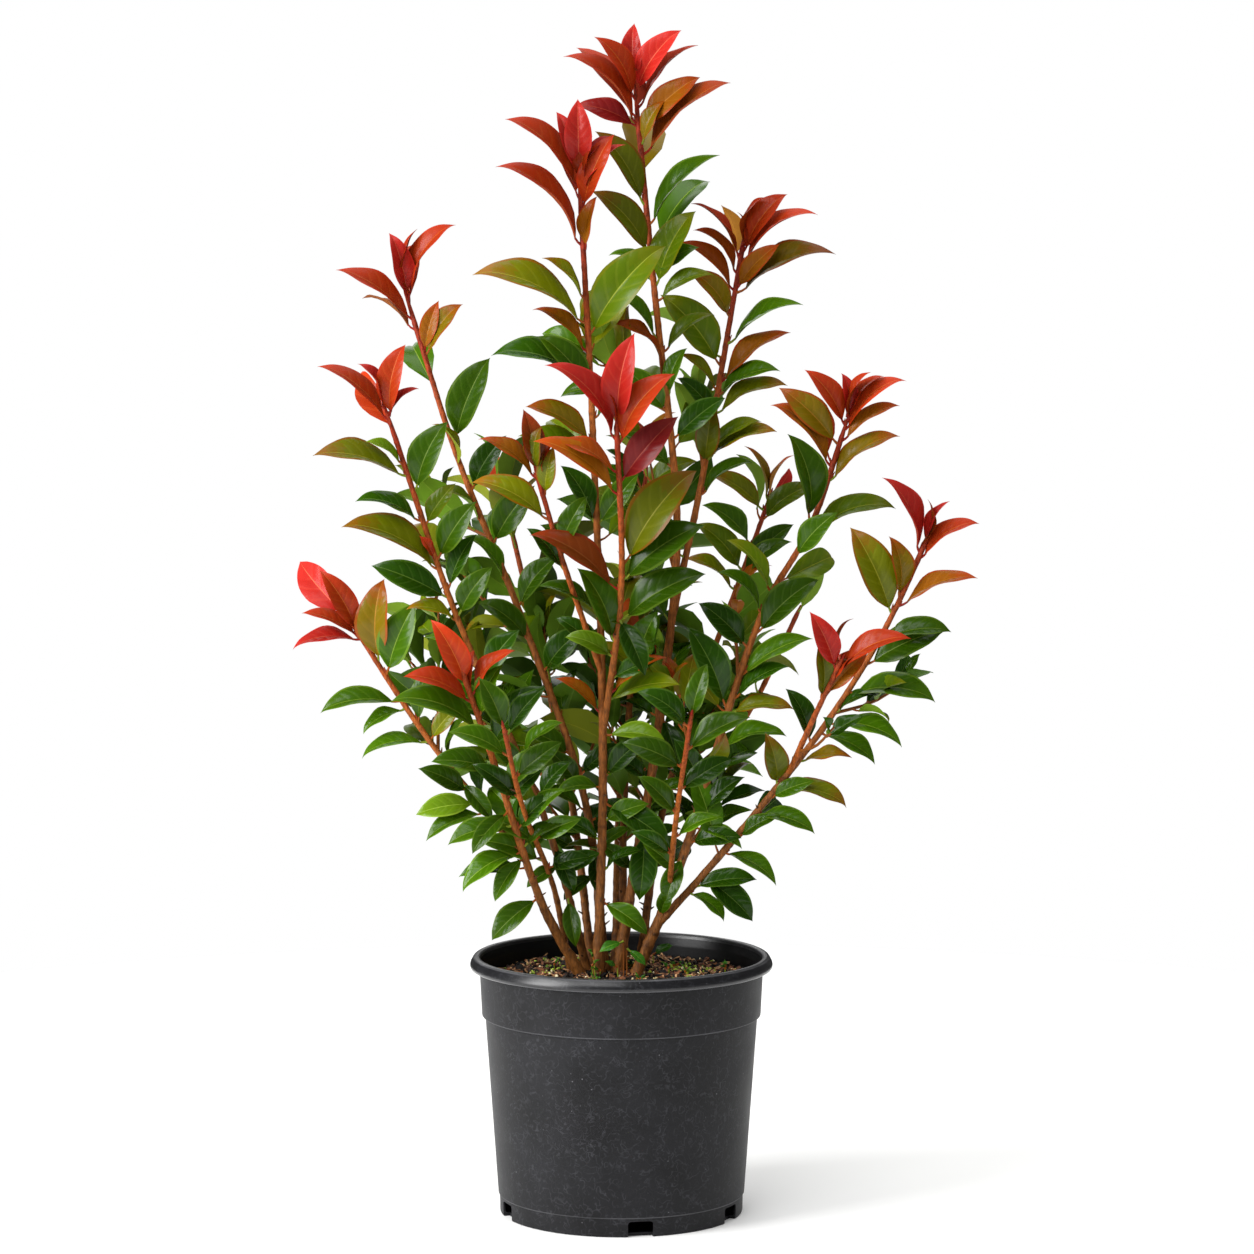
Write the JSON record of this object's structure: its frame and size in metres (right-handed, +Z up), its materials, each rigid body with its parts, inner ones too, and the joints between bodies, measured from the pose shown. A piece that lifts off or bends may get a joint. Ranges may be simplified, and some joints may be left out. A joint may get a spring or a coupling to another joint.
{
  "type": "potted photinia shrub",
  "caption": "Upright evergreen shrub with several stems from one foot, green leaves and red young shoot tips, standing in a round black nursery pot.",
  "frame": {"origin": "centre of the pot's flat underside", "axes": "+Z up along the pot's axis; the front, from which the shrub is best seen, faces -Y; +X to the right of that view"},
  "size_m": [0.6558, 0.4722, 1.1007],
  "materials": {
    "pot_plastic": "matt black moulded plastic with fine scuffs",
    "bark_compost": "damp bark-based compost, crumbly",
    "brown_bark": "smooth brown bark with darker rings",
    "red_stem": "smooth young red stem",
    "green_leaf": "glossy leathery leaf, deep green",
    "olive_leaf": "glossy leaf turning from bronze to green",
    "copper_leaf": "glossy young leaf, coppery",
    "red_leaf": "glossy young leaf, scarlet to crimson",
    "moss": "soft bright green moss"
  },
  "bodies": {
    "root": {"bough_far_back_left": "brown_bark", "bough_far_back_right": "brown_bark", "bough_far_left": "brown_bark", "bough_far_right": "brown_bark", "bough_front_right": "brown_bark", "bough_front_shoot": "brown_bark", "bough_inner_left": "brown_bark", "bough_low_right": "brown_bark", "bough_upper_right": "brown_bark", "compost": "bark_compost", "foliage_back_left": "green_leaf", "foliage_back_right": "green_leaf", "foliage_centre_back": "green_leaf", "foliage_centre_front": "green_leaf", "foliage_far_left": "green_leaf", "foliage_far_right_1": "green_leaf", "foliage_far_right_2": "green_leaf", "foliage_front_shoot": "green_leaf", "foliage_left_front": "green_leaf", "foliage_mid_left_1": "green_leaf", "foliage_mid_left_2": "green_leaf", "foliage_right_1": "green_leaf", "foliage_right_2": "green_leaf", "foliage_tallest_1": "green_leaf", "foliage_tallest_2": "green_leaf", "foliage_upper_left": "green_leaf", "foliage_upper_right": "green_leaf", "pot": "pot_plastic", "stem_back": "brown_bark", "stem_back_left": "brown_bark", "stem_back_right": "brown_bark", "stem_centre_back": "brown_bark", "stem_centre_front": "brown_bark", "stem_left_front": "brown_bark", "stem_mid_left": "brown_bark", "stem_right": "brown_bark", "stem_tallest": "brown_bark", "stem_thin_left": "brown_bark", "stem_upper_left": "brown_bark", "tip_back": "red_leaf", "tip_back_left": "red_leaf", "tip_back_right": "red_leaf", "tip_centre_back": "red_leaf", "tip_centre_front": "red_leaf", "tip_far_back_left": "red_leaf", "tip_far_back_right": "red_leaf", "tip_far_left": "red_leaf", "tip_far_right": "red_leaf", "tip_front_right": "red_leaf", "tip_front_shoot": "red_leaf", "tip_inner_left": "red_leaf", "tip_left_front": "red_leaf", "tip_low_right": "red_leaf", "tip_mid_left": "red_leaf", "tip_right": "red_leaf", "tip_tallest": "red_leaf", "tip_thin_left": "red_leaf", "tip_upper_left": "red_leaf", "tip_upper_right": "red_leaf"}
  },
  "joints": []
}
